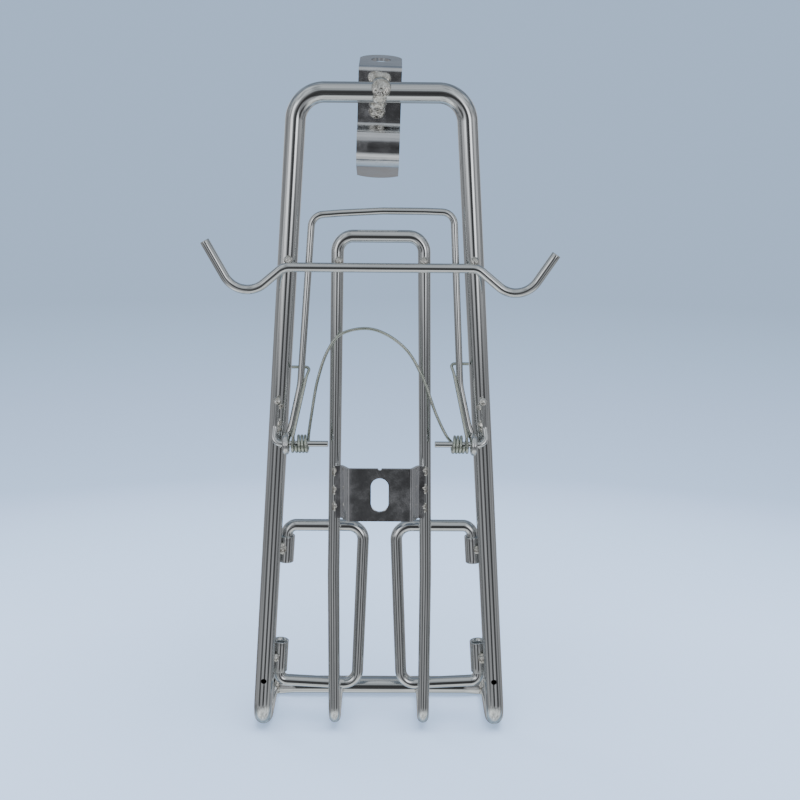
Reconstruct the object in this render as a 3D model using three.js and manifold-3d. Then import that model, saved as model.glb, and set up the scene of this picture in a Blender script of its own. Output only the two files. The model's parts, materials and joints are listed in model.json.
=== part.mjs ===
// Folding luggage rack of bent steel tube and rod, in millimetres.
// +X runs across the rack, +Y towards the side that carries the luggage, and +Z up along the frame.
// Lengths are laid out from the plane of the frame's two legs and from the lowest point of its feet.
import * as THREE from "three";
import { mergeVertices } from "three/addons/utils/BufferGeometryUtils.js";
import Module from "manifold-3d";

// Stock that the pieces are bent and cut from
const tubeDiameter = 12.7;
const tubeWall = 1.2;
const hoopRod = 8;
const hookRod = 6;
const wingRod = 8;
const bailRod = 4.5;
const pinRod = 4;
const springWire = 2;
const plateThickness = 2;
const strapThickness = 2;
const socketWall = 1.2;

// Clearances
const weldGap = 0.3; // between two pieces that a weld bead joins
const restGap = 0.3; // between the closed bail and the bar that it rests on
const socketClearance = 0.2; // around a wing's rod in its socket
const coilGap = 0.15; // between neighbouring turns of the spring
const capClearance = 0.3; // around the disc that closes a foot

// Outer frame: centre line heights and widths
const frameTopHeight = 434.5;
const frameTopWidth = 103.8;
const frameFootWidth = 163.5;
const frameBend = 18;
const footPastCross = 2;
const capThickness = 1.5;
const ventDiameter = 3.8;
const ventHeight = 42;

// Cross tube between the feet, pinched tall at its welded ends
const crossSetback = 56;
const pinchRise = 1.3;
const pinchDepth = 1.35;
const pinchLength = 13;

// Inner hoop
const hoopTopHeight = 347;
const hoopTopWidth = 54.4;
const hoopFootWidth = 62;
const hoopTaperHeight = 120;
const hoopTopBend = 10;
const hoopTaperBend = 200;
const hoopFootBend = 14;

// Bag hook bar: its bends are measured outwards from the legs
const hookHeight = 328;
const hookShoulderOut = 1.7;
const hookValleyOut = 29.3;
const hookValleyDrop = 23;
const hookTipOut = 50.7;
const leftTipRise = 16.2;
const rightTipRise = 9.2;
const hookShoulderBend = 10;
const hookValleyBend = 16;

// Mounting plate, a shallow hat section
const plateHeight = 180;
const plateLength = 36;
const plateStandOff = 6.85;
const plateWallRun = 4.3;
const plateFlange = 3.3;
const plateEdgeInset = 0.7; // from the inner hoop's centre line
const slotWidth = 11.5;
const slotLength = 23.2;
const nickRadius = 1.2;

// Hanger strap behind the top bar
const strapWidth = 26.8;
const strapShift = -1.3; // off the rack's middle
const strapTwist = 1.5; // off upright, in degrees
const strapWebTop = 14.5;
const strapWebBottom = 20;
const strapBulge = 7.2;
const strapBulgeLength = 24;
const strapUpperEar = 40;
const strapUpperTilt = 13.2;
const strapLowerEar = 32.4;
const strapLowerTilt = 15;
const strapFold = 2.5;
const strapBulgeBend = 11;
const strapBulgeFoot = 5;
const upperEndRadius = 13.6;
const lowerEndRadius = 17.2;
const strapHoleDiameter = 12.5;
const strapHoleFromFold = 23;

// Wing sockets, measured along the legs
const upperSocketLength = 18.5;
const lowerSocketLength = 22.5;
const socketAngle = 39;
const upperSocketTop = 144.8;
const lowerSocketBottom = 44.8;

// Side wings, in the frame of their leg: height along it and reach from the hinge
const wingTuck = 17;
const wingClear = 7.4;
const wingReachTop = 51.3;
const wingReachBottom = 54.8;
const wingTopRise = 3.5;
const wingBottomRise = 0.8;
const wingEndBend = 6.3;
const wingCornerBend = 10;

// Pivot pins of the bail
const pinHeight = 214;
const pinStandOff = 6.35; // from the front of the legs
const leftPinPastCoil = 13.2;
const rightPinPastCoil = 11.2;
const pinPostTop = 28;
const pinPostBend = 10;
const pinPostAngle = 10;
const pinElbowOut = 2.2;

// Spring bail, seen from its pivot axis: its arms are measured inwards from the sides of the legs
const eyeClearance = 0.75; // around the pin
const eyeInset = 0.1;
const eyeOverlap = 2.2;
const eyeRise = 1.4; // where the arm leaves its eye
const bailKneeHeight = 11;
const bailKneeInset = 2.8;
const bailElbowHeight = 38;
const bailElbowInset = 6.85;
const bailTopRise = 14; // above the inner hoop
const bailTopInset = 6.25;
const bailBow = 2.6;
const bailTopShift = 1.2;
const bailTopTilt = 1.2;

// Torsion spring: two coils on the pins, joined by an arch that bears on the inner hoop
const coilClearance = 2.1; // around the pin
const coilTurns = 3.5;
const coilInset = 14.1; // from the bail's eye to the coil's inner end
const archHeight = 75;
const leftHookHeight = 48.6;
const rightHookHeight = 51.4;
const springHookInset = 5.3;
const springHookOut = 6.5;

const tubeRadius = tubeDiameter / 2;
const footHeight = tubeRadius;
const crossHeight = tubeRadius + pinchRise;
const hoopPlane = hoopRod / 2 - tubeRadius;
const hookPlane = -(tubeRadius + weldGap + hookRod / 2);
const legLean = Math.atan2((frameFootWidth - frameTopWidth) / 2, frameTopHeight - footHeight);
const socketRadius = wingRod / 2 + socketClearance + socketWall;
const socketOffset = tubeRadius + weldGap + socketRadius;
const socketInset = socketOffset * Math.cos(THREE.MathUtils.degToRad(socketAngle));
const socketPlane = socketOffset * Math.sin(THREE.MathUtils.degToRad(socketAngle));
const footEnd = crossSetback + tubeRadius + footPastCross;
const pinForward = tubeRadius + pinStandOff;
const eyeRadius = (pinRod + bailRod) / 2 + eyeClearance;
const eyeX = bailX(0, eyeInset);
const bailTopHeight = hoopTopHeight + bailTopRise - pinHeight;
const coilRadius = (pinRod + springWire) / 2 + coilClearance;
const coilInnerEnd = eyeX - coilInset;
const frontMost = -(pinForward + eyeRadius + bailRod / 2);
const midDepth = (frontMost + footEnd) / 2;

const kernel = await Module();
kernel.setup();

const steel = { color: 0xc9c8c4, metalness: 1, roughness: 0.18 };
const sheetSteel = { color: 0xbfc0c2, metalness: 1, roughness: 0.26 };
const springSteel = { color: 0xa3a596, metalness: 1, roughness: 0.3 };

// A wire's centre line, given as the points where its cross section is placed.
class WirePath extends THREE.Curve {
  constructor(points) {
    super();
    this.points = points;
    this.steps = points.length - 1;
  }

  getPoint(share, target = new THREE.Vector3()) {
    return target.copy(this.points[Math.round(share * this.steps)]);
  }

  getTangentAt(share, target = new THREE.Vector3()) {
    const index = Math.round(share * this.steps);
    const here = this.points[index];
    target.set(0, 0, 0);
    if (index > 0) {
      target.add(here.clone().sub(this.points[index - 1]).normalize());
    }
    if (index < this.steps) {
      target.add(this.points[index + 1].clone().sub(here).normalize());
    }
    return target.normalize();
  }

  getSpacedPoints() {
    return this.points;
  }
}

function corner(x, y, z, bend = 0) {
  return { point: new THREE.Vector3(x, y, z), bend };
}

// The points of the arc that rounds one corner, from the run before it to the run after it.
function cornerArc(before, { point, bend }, after, stepAngle) {
  const into = point.clone().sub(before).normalize();
  const out = after.clone().sub(point).normalize();
  const turn = into.angleTo(out);
  const start = point.clone().addScaledVector(into, -bend * Math.tan(turn / 2));
  const inward = out.clone().addScaledVector(into, -into.dot(out)).normalize();
  const steps = Math.max(1, Math.ceil(turn / stepAngle));
  const arc = [];
  for (let step = 0; step <= steps; step++) {
    const angle = (turn * step) / steps;
    const along = start.clone().addScaledVector(into, bend * Math.sin(angle));
    arc.push(along.addScaledVector(inward, bend * (1 - Math.cos(angle))));
  }
  return arc;
}

// The centre line of a rod bent at each corner, with points only at its ends and along its bends.
function bentRod(corners, stepDegrees = 15) {
  const points = [corners[0].point];
  for (let i = 1; i < corners.length - 1; i++) {
    const before = corners[i - 1].point;
    const after = corners[i + 1].point;
    const arc = cornerArc(before, corners[i], after, THREE.MathUtils.degToRad(stepDegrees));
    points.push(...arc.filter((point) => point.distanceTo(points.at(-1)) > 0.01));
  }
  points.push(corners.at(-1).point);
  return points;
}

// Adds the mirror image of one half's corners, so that the whole rod is the same on both sides.
function mirrored(half, middle = []) {
  const other = half.map(({ point, bend }) => corner(-point.x, point.y, point.z, bend));
  return [...other, ...middle, ...half.reverse()];
}

function circlePoints(radius, sides) {
  const points = [];
  for (let i = 0; i < sides; i++) {
    const angle = (2 * Math.PI * i) / sides;
    points.push(new THREE.Vector2(radius * Math.cos(angle), radius * Math.sin(angle)));
  }
  return points;
}

function rodSection(diameter, sides) {
  return new THREE.Shape(circlePoints(diameter / 2, sides));
}

function tubeSection(diameter, wall, sides) {
  const section = rodSection(diameter, sides);
  section.holes.push(new THREE.Path(circlePoints(diameter / 2 - wall, sides)));
  return section;
}

function sweep(points, section) {
  const extrudePath = new WirePath(points);
  return new THREE.ExtrudeGeometry(section, { steps: extrudePath.steps, extrudePath });
}

function solidOf(geometry) {
  const bare = geometry.clone();
  bare.deleteAttribute("normal");
  bare.deleteAttribute("uv");
  const merged = mergeVertices(bare, 1e-4);
  const vertProperties = merged.getAttribute("position").array;
  const triVerts = new Uint32Array(merged.index.array);
  return new kernel.Manifold(new kernel.Mesh({ numProp: 3, vertProperties, triVerts }));
}

function geometryOf(solid) {
  const mesh = solid.getMesh();
  const geometry = new THREE.BufferGeometry();
  geometry.setAttribute("position", new THREE.BufferAttribute(mesh.vertProperties, 3));
  geometry.setIndex(new THREE.BufferAttribute(mesh.triVerts, 1));
  return geometry;
}

function cut(geometry, ...cutters) {
  let solid = solidOf(geometry);
  for (const cutter of cutters) {
    solid = solid.subtract(solidOf(cutter));
  }
  return geometryOf(solid);
}

function piece(name, geometry, look) {
  geometry.computeVertexNormals();
  const mesh = new THREE.Mesh(geometry, new THREE.MeshStandardMaterial(look));
  mesh.name = name;
  return mesh;
}

// Distance of a leg's centre line from the rack's middle, at a height above the floor
function legX(height) {
  const share = (height - footHeight) / (frameTopHeight - footHeight);
  return THREE.MathUtils.lerp(frameFootWidth, frameTopWidth, share) / 2;
}

function ventCutter(side) {
  const cutter = new THREE.CylinderGeometry(ventDiameter / 2, ventDiameter / 2, tubeRadius, 12);
  return cutter.translate(side * legX(ventHeight), -tubeRadius, ventHeight);
}

function outerFrame() {
  const half = [
    corner(legX(frameTopHeight), 0, frameTopHeight, frameBend),
    corner(legX(footHeight), 0, footHeight, frameBend),
    corner(legX(footHeight), footEnd, footHeight),
  ];
  const path = bentRod(mirrored(half.reverse()));
  const tube = sweep(path, tubeSection(tubeDiameter, tubeWall, 16));
  return piece("outer_frame", cut(tube, ventCutter(-1), ventCutter(1)), steel);
}

function footCap(side, name) {
  const radius = tubeRadius - tubeWall - capClearance;
  const mesh = piece(name, new THREE.CylinderGeometry(radius, radius, capThickness, 16), steel);
  mesh.position.set(side * legX(footHeight), footEnd - capThickness / 2, footHeight);
  return mesh;
}

// Pinches the tube's two ends: taller by twice the rise and thinner front to back.
function pinchEnds(geometry, halfLength) {
  const position = geometry.getAttribute("position");
  for (let i = 0; i < position.count; i++) {
    const fromEnd = halfLength - Math.abs(position.getX(i));
    const share = 1 - THREE.MathUtils.smoothstep(fromEnd, 0, pinchLength);
    position.setY(i, position.getY(i) * (1 - (share * pinchDepth) / tubeRadius));
    position.setZ(i, position.getZ(i) * (1 + (share * pinchRise) / tubeRadius));
  }
}

function crossTube() {
  const halfLength = legX(footHeight) - tubeRadius - weldGap;
  const stations = [0, 0.3, 0.6, 1].map((share) => halfLength - share * pinchLength);
  const places = [...stations.map((x) => -x), ...stations.reverse()];
  const path = places.map((x) => new THREE.Vector3(x, 0, 0));
  const tube = sweep(path, tubeSection(tubeDiameter, tubeWall, 16));
  pinchEnds(tube, halfLength);
  const mesh = piece("cross_tube", tube, steel);
  mesh.position.set(0, crossSetback, crossHeight);
  return mesh;
}

function innerHoop() {
  const half = [
    corner(hoopFootWidth / 2, crossSetback - tubeRadius - weldGap, crossHeight),
    corner(hoopFootWidth / 2, hoopPlane, crossHeight, hoopFootBend),
    corner(hoopFootWidth / 2, hoopPlane, hoopTaperHeight, hoopTaperBend),
    corner(hoopTopWidth / 2, hoopPlane, hoopTopHeight, hoopTopBend),
  ];
  return piece("inner_hoop", sweep(bentRod(mirrored(half)), rodSection(hoopRod, 12)), steel);
}

function hookBar() {
  const leg = legX(hookHeight);
  const half = [
    corner(leg + hookTipOut, hookPlane, hookHeight + rightTipRise),
    corner(leg + hookValleyOut, hookPlane, hookHeight - hookValleyDrop, hookValleyBend),
    corner(leg + hookShoulderOut, hookPlane, hookHeight, hookShoulderBend),
  ];
  const corners = mirrored(half);
  corners[0].point.z = hookHeight + leftTipRise;
  return piece("hook_bar", sweep(bentRod(corners), rodSection(hookRod, 12)), steel);
}

// A slot outline that runs along its second axis
function slotShape(width, length) {
  const radius = width / 2;
  const reach = length / 2 - radius;
  const shape = new THREE.Shape();
  shape.absarc(0, reach, radius, 0, Math.PI);
  shape.absarc(0, -reach, radius, Math.PI, 2 * Math.PI);
  return shape;
}

// Distance of the hoop's upright rods from the rack's middle, above their taper
function hoopX(height) {
  const share = (height - hoopTaperHeight) / (hoopTopHeight - hoopTaperHeight);
  return THREE.MathUtils.lerp(hoopFootWidth, hoopTopWidth, share) / 2;
}

// One side of the hat section, from its middle to the edge of its flange
function plateEdge(depth) {
  const flangeBack = -(tubeRadius + weldGap);
  const lean = plateThickness - depth;
  const edge = hoopX(plateHeight) - plateEdgeInset;
  const base = edge - plateFlange;
  return [
    new THREE.Vector2(base - plateWallRun - lean, flangeBack - plateStandOff - depth),
    new THREE.Vector2(base - lean, flangeBack - depth),
    new THREE.Vector2(edge, flangeBack - depth),
  ];
}

function mirroredOutline(front, back) {
  const half = [...front, ...back.reverse()];
  const other = half.map((point) => new THREE.Vector2(-point.x, point.y)).reverse();
  return new THREE.Shape([...half, ...other]);
}

function mountPlate() {
  const section = mirroredOutline(plateEdge(plateThickness), plateEdge(0));
  const sheet = new THREE.ExtrudeGeometry(section, { depth: plateLength, bevelEnabled: false });
  sheet.translate(0, 0, -plateLength / 2);
  const through = 4 * (plateStandOff + plateThickness);
  const slot = new THREE.ExtrudeGeometry(slotShape(slotWidth, slotLength), {
    depth: through,
    bevelEnabled: false,
    curveSegments: 8,
  });
  slot.rotateX(Math.PI / 2);
  slot.translate(0, through / 2, 0);
  const nick = new THREE.CylinderGeometry(nickRadius, nickRadius, through, 8);
  nick.translate(0, 0, plateLength / 2);
  const mesh = piece("mount_plate", cut(sheet, slot, nick), sheetSteel);
  mesh.position.z = plateHeight;
  return mesh;
}

// The strap's centre line seen from its side, from the upper ear's end to the lower ear's end
function strapLine(webDepth) {
  const upTilt = THREE.MathUtils.degToRad(strapUpperTilt);
  const downTilt = THREE.MathUtils.degToRad(strapLowerTilt);
  const upperFold = frameTopHeight + strapWebTop;
  const bulgeTop = frameTopHeight - strapWebBottom;
  const lowerFold = bulgeTop - strapBulgeLength;
  const bulgeInset = strapBulgeLength * 0.24;
  const bulgeDepth = webDepth - strapBulge;
  return bentRod(
    [
      corner(
        0,
        webDepth + strapUpperEar * Math.cos(upTilt),
        upperFold + strapUpperEar * Math.sin(upTilt),
      ),
      corner(0, webDepth, upperFold, strapFold),
      corner(0, webDepth, bulgeTop, strapBulgeFoot),
      corner(0, bulgeDepth, bulgeTop - bulgeInset, strapBulgeBend),
      corner(0, bulgeDepth, lowerFold + bulgeInset, strapBulgeBend),
      corner(0, webDepth, lowerFold, strapFold),
      corner(
        0,
        webDepth + strapLowerEar * Math.cos(downTilt),
        lowerFold - strapLowerEar * Math.sin(downTilt),
      ),
    ],
    22,
  );
}

// The closed outline of a sheet of the given thickness along a line, as (depth, height) points
function sheetOutline(points, thickness) {
  const path = new WirePath(points);
  const front = [];
  const back = [];
  points.forEach((point, index) => {
    const tangent = path.getTangentAt(index / path.steps);
    const side = new THREE.Vector2(-tangent.z, tangent.y).multiplyScalar(thickness / 2);
    front.push(new THREE.Vector2(point.y, point.z).add(side));
    back.push(new THREE.Vector2(point.y, point.z).sub(side));
  });
  return new THREE.Shape([...front, ...back.reverse()]);
}

// Removes what lies outside the rounded end of an ear, in the ear's own plane.
function earEndCutter(earLength, endRadius) {
  const centre = earLength - endRadius;
  const edge = strapWidth / 2;
  const swing = Math.acos(edge / endRadius);
  const shoulder = centre + endRadius * Math.sin(swing);
  const margin = 2;
  const shape = new THREE.Shape();
  shape.moveTo(edge + margin, shoulder);
  shape.lineTo(edge + margin, earLength + margin);
  shape.lineTo(-edge - margin, earLength + margin);
  shape.lineTo(-edge - margin, shoulder);
  shape.absarc(0, centre, endRadius, Math.PI - swing, swing, true);
  const depth = 4 * strapThickness;
  const options = { depth, bevelEnabled: false, curveSegments: 8 };
  return new THREE.ExtrudeGeometry(shape, options).translate(0, 0, -depth / 2);
}

function hangerStrap() {
  const webDepth = tubeRadius + weldGap + strapThickness / 2;
  const line = strapLine(webDepth);
  const outline = sheetOutline(line, strapThickness);
  const sheet = new THREE.ExtrudeGeometry(outline, { depth: strapWidth, bevelEnabled: false });
  sheet.translate(0, 0, -strapWidth / 2);
  sheet.applyMatrix4(
    new THREE.Matrix4().makeBasis(
      new THREE.Vector3(0, 1, 0),
      new THREE.Vector3(0, 0, 1),
      new THREE.Vector3(1, 0, 0),
    ),
  );
  const upTilt = THREE.MathUtils.degToRad(strapUpperTilt);
  const downTilt = THREE.MathUtils.degToRad(strapLowerTilt);
  const upperFold = frameTopHeight + strapWebTop;
  const lowerFold = frameTopHeight - strapWebBottom - strapBulgeLength;
  const hole = new THREE.CylinderGeometry(
    strapHoleDiameter / 2,
    strapHoleDiameter / 2,
    4 * strapThickness,
    24,
  );
  hole.rotateX(Math.PI / 2).translate(0, strapHoleFromFold, 0);
  const cutters = [
    hole.rotateX(upTilt).translate(0, webDepth, upperFold),
    earEndCutter(strapUpperEar, upperEndRadius).rotateX(upTilt).translate(0, webDepth, upperFold),
    earEndCutter(strapLowerEar, lowerEndRadius).rotateX(-downTilt).translate(0, webDepth, lowerFold),
  ];
  const strap = cut(sheet, ...cutters).translate(0, 0, -frameTopHeight);
  const mesh = piece("hanger_strap", strap, sheetSteel);
  mesh.position.set(strapShift, 0, frameTopHeight);
  mesh.rotation.y = THREE.MathUtils.degToRad(strapTwist);
  return mesh;
}

// A group whose own Z axis is a leg's centre line, so that what is fixed along the leg is upright in it
function legGroup(side) {
  const group = new THREE.Group();
  group.position.set(side * legX(0), 0, 0);
  group.rotation.y = -side * legLean;
  return group;
}

function socket(name, side, bottom, length) {
  const section = tubeSection(2 * socketRadius, socketWall, 16);
  const options = { depth: length, bevelEnabled: false };
  const mesh = piece(name, new THREE.ExtrudeGeometry(section, options), steel);
  mesh.position.set(-side * socketInset, socketPlane, bottom);
  return mesh;
}

// A wing's rod: both ends turn towards each other and stand in the leg's two sockets.
function wing(name, side) {
  const top = upperSocketTop + wingClear;
  const bottom = lowerSocketBottom - wingClear;
  const corners = [
    corner(0, 0, upperSocketTop - wingTuck),
    corner(0, 0, top, wingEndBend),
    corner(-side * wingReachTop, 0, top + wingTopRise, wingCornerBend),
    corner(-side * wingReachBottom, 0, bottom + wingBottomRise, wingCornerBend),
    corner(0, 0, bottom, wingEndBend),
    corner(0, 0, lowerSocketBottom + wingTuck),
  ];
  const mesh = piece(name, sweep(bentRod(corners), rodSection(wingRod, 12)), steel);
  mesh.position.set(-side * socketInset, socketPlane, 0);
  return mesh;
}

// A rod welded down the front of a leg, whose lower end turns in as the pin of the bail
function pivotPin(name, side, pastCoil) {
  const reach = tubeRadius + weldGap + pinRod / 2;
  const angle = THREE.MathUtils.degToRad(pinPostAngle);
  const outward = reach * Math.sin(angle);
  const plane = -reach * Math.cos(angle);
  const postTop = pinHeight + pinPostTop;
  const postBend = pinHeight + pinPostBend;
  const corners = [
    corner(side * (legX(postTop) + outward), plane, postTop),
    corner(side * (legX(postBend) + outward), plane, postBend, 6),
    corner(side * (legX(pinHeight) + pinElbowOut), -pinForward, pinHeight, 5),
    corner(side * (coilInnerEnd - pastCoil), -pinForward, pinHeight),
  ];
  return piece(name, sweep(bentRod(corners), rodSection(pinRod, 10)), steel);
}

// How far the bail's arms lie behind their pivot axis at a height above it
function bailDepth(height) {
  const hookBack = hookPlane + hookRod / 2;
  const restDepth = hookBack + restGap + bailRod / 2 + pinForward;
  return THREE.MathUtils.mapLinear(height, 0, hookHeight - pinHeight, eyeRadius, restDepth);
}

// Distance of a bail arm from the rack's middle, at a height above the pivot axis
function bailX(height, inset) {
  return legX(pinHeight + height) - tubeRadius - inset;
}

function bailArm(height, inset, bend) {
  return corner(bailX(height, inset), bailDepth(height), height, bend);
}

function bail() {
  const half = [
    corner(eyeX, eyeOverlap, eyeRadius),
    corner(eyeX, -eyeRadius, eyeRadius, eyeRadius),
    corner(eyeX, -eyeRadius, -eyeRadius, eyeRadius),
    corner(eyeX, eyeRadius, -eyeRadius, eyeRadius),
    corner(eyeX, bailDepth(eyeRise), eyeRise, 4),
    bailArm(bailKneeHeight, bailKneeInset, 20),
    bailArm(bailElbowHeight, bailElbowInset, 40),
    bailArm(bailTopHeight, bailTopInset, 8),
  ];
  const middle = corner(0, bailDepth(bailTopHeight + bailBow), bailTopHeight + bailBow, 450);
  const corners = mirrored(half, [middle]);
  const top = corners.filter(({ point }) => point.z >= bailTopHeight);
  top.forEach(({ point }) => {
    point.z += bailTopTilt * Math.sign(point.x);
    point.x += bailTopShift;
  });
  return piece("spring_bail", sweep(bentRod(corners), rodSection(bailRod, 10)), steel);
}

// A point on a coil: its place along the pin and its angle round it, from the luggage side upwards
function coilPoint(along, angle) {
  const depth = coilRadius * Math.cos(angle);
  return new THREE.Vector3(along, depth, coilRadius * Math.sin(angle));
}

// The turns of one coil, from its outer end to the arch's foot
function coilTurnsPoints(side) {
  const pitch = springWire + coilGap;
  const stepsPerTurn = 14;
  const points = [];
  for (let step = -coilTurns * stepsPerTurn; step < 0; step++) {
    const turns = step / stepsPerTurn;
    points.push(coilPoint(side * (coilInnerEnd - turns * pitch), turns * 2 * Math.PI));
  }
  return points;
}

// The arch between the coils leans to one side. Each point is a share of its half span and height.
function archPoints() {
  const outline = [
    [-1, 0],
    [-0.995, 0.053],
    [-0.952, 0.24],
    [-0.858, 0.56],
    [-0.715, 0.813],
    [-0.546, 0.947],
    [-0.2125, 1],
    [0.05, 0.96],
    [0.3625, 0.813],
    [0.585, 0.573],
    [0.785, 0.24],
    [0.93, 0.055],
    [1, 0],
  ];
  const points = outline.map(
    ([across, up]) => new THREE.Vector3(across * coilInnerEnd, coilRadius, up * archHeight),
  );
  return new THREE.CatmullRomCurve3(points, false, "centripetal").getPoints(40);
}

function clipSpring() {
  const points = [...coilTurnsPoints(-1), ...archPoints(), ...coilTurnsPoints(1).reverse()];
  return piece("clip_spring", sweep(points, rodSection(springWire, 6)), springSteel);
}

// The spring's end: three quarters of a turn round the pin, then a leg that hooks behind the bail
function springLeg(name, side, hookHeightAbove) {
  const along = side * (coilInnerEnd + (coilTurns + 1) * (springWire + coilGap));
  const hookX = THREE.MathUtils.mapLinear(
    hookHeightAbove,
    bailElbowHeight,
    bailTopHeight,
    bailX(bailElbowHeight, bailElbowInset),
    bailX(bailTopHeight, bailTopInset),
  );
  const hookDepth = bailDepth(hookHeightAbove) + bailRod / 2 + restGap + springWire / 2;
  const ring = [];
  for (let step = 0; step < 10; step++) {
    ring.push(coilPoint(along, Math.PI * (2.5 - (1.5 * step) / 10)));
  }
  const leg = bentRod([
    corner(along, -coilRadius, 0),
    corner(along - side * 0.8, -coilRadius, 7, 6),
    corner(side * (hookX - 3.3), hookDepth * 0.55, hookHeightAbove - 5, 8),
    corner(side * (hookX - springHookInset), hookDepth, hookHeightAbove, 2),
    corner(side * (hookX + springHookOut), hookDepth, hookHeightAbove),
  ]);
  return piece(name, sweep([...ring, ...leg], rodSection(springWire, 6)), springSteel);
}

const rack = new THREE.Group();
rack.position.y = -midDepth;
rack.add(outerFrame(), crossTube(), innerHoop(), hookBar(), mountPlate(), hangerStrap());

const bailPivot = new THREE.Group();
bailPivot.position.set(0, -pinForward, pinHeight);
bailPivot.add(bail(), clipSpring());
rack.add(bailPivot);

for (const [side, label, springHook, pastCoil] of [
  [-1, "left", leftHookHeight, leftPinPastCoil],
  [1, "right", rightHookHeight, rightPinPastCoil],
]) {
  const leg = legGroup(side);
  leg.add(
    socket("upper_socket_" + label, side, upperSocketTop - upperSocketLength, upperSocketLength),
    socket("lower_socket_" + label, side, lowerSocketBottom, lowerSocketLength),
    wing("side_wing_" + label, side),
  );
  rack.add(leg, footCap(side, "foot_cap_" + label));
  rack.add(pivotPin("pivot_pin_" + label, side, pastCoil));
  bailPivot.add(springLeg("spring_leg_" + label, side, springHook));
}

export default rack;
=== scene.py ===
import json
import math
import random

import bmesh
import bpy
import numpy as np
from mathutils import Matrix, Vector, noise

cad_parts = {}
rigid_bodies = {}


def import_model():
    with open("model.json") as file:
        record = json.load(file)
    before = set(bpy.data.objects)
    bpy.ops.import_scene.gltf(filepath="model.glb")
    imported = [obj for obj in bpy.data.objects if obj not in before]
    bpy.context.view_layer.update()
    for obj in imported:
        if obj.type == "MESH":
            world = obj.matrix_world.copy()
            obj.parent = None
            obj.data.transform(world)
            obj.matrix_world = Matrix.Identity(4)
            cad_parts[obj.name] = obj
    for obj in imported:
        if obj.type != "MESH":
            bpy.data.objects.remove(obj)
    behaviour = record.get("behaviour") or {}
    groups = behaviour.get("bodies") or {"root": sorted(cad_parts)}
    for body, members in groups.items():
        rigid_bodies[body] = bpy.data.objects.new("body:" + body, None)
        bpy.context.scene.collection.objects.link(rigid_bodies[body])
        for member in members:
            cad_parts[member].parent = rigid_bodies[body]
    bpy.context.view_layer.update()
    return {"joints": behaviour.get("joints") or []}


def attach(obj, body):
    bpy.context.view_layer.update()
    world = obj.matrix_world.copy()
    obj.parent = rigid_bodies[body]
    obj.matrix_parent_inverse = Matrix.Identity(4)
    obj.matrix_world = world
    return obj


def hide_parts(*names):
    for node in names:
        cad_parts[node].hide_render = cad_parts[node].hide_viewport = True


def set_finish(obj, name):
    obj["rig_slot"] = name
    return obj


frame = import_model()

# Folding luggage rack of bent, polished steel tube and rod.
# Lengths are in millimetres from the plane of the frame's two legs and from the floor, with +X across the
# rack, +Y towards the side that carries the luggage and +Z up along the frame. place() puts them in the row.
MM = 0.001

# Stock
TUBE, TUBE_WALL = 12.7, 1.2
HOOP_ROD, HOOK_ROD, WING_ROD, BAIL_ROD, PIN_ROD, SPRING_WIRE = 8, 6, 8, 4.5, 4, 2
SHEET = 2
SOCKET_WALL = 1.2
WELD_GAP, REST_GAP, SOCKET_CLEARANCE, COIL_GAP, CAP_CLEARANCE = 0.3, 0.3, 0.2, 0.15, 0.3
TUBE_RADIUS = TUBE / 2

# Outer frame and cross tube
FRAME_TOP_HEIGHT, FRAME_TOP_WIDTH, FRAME_FOOT_WIDTH, FRAME_BEND = 434.5, 103.8, 163.5, 18
FOOT_HEIGHT, FOOT_PAST_CROSS, CAP_THICKNESS = TUBE_RADIUS, 2, 1.5
VENT_DIAMETER, VENT_HEIGHT = 3.8, 42
CROSS_SETBACK, PINCH_RISE, PINCH_DEPTH, PINCH_LENGTH = 56, 1.3, 1.35, 13
CROSS_HEIGHT = TUBE_RADIUS + PINCH_RISE
FOOT_END = CROSS_SETBACK + TUBE_RADIUS + FOOT_PAST_CROSS
LEG_LEAN = math.atan2((FRAME_FOOT_WIDTH - FRAME_TOP_WIDTH) / 2, FRAME_TOP_HEIGHT - FOOT_HEIGHT)

# Inner hoop
HOOP_TOP_HEIGHT, HOOP_TOP_WIDTH, HOOP_FOOT_WIDTH, HOOP_TAPER_HEIGHT = 347, 54.4, 62, 120
HOOP_TOP_BEND, HOOP_TAPER_BEND, HOOP_FOOT_BEND = 10, 200, 14
HOOP_PLANE = HOOP_ROD / 2 - TUBE_RADIUS

# Bag hook bar: its bends are measured outwards from the legs
HOOK_HEIGHT, HOOK_VALLEY_DROP, LEFT_TIP_RISE, RIGHT_TIP_RISE = 328, 23, 16.2, 9.2
HOOK_SHOULDER_OUT, HOOK_VALLEY_OUT, HOOK_TIP_OUT = 1.7, 29.3, 50.7
HOOK_SHOULDER_BEND, HOOK_VALLEY_BEND = 10, 16
HOOK_PLANE = -(TUBE_RADIUS + WELD_GAP + HOOK_ROD / 2)

# Mounting plate
PLATE_HEIGHT, PLATE_LENGTH, PLATE_STAND_OFF = 180, 36, 6.85
PLATE_WALL_RUN, PLATE_FLANGE, PLATE_EDGE_INSET = 4.3, 3.3, 0.7
SLOT_WIDTH, SLOT_LENGTH, NICK_RADIUS = 11.5, 23.2, 1.2
PLATE_FOLD = 1.6

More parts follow.
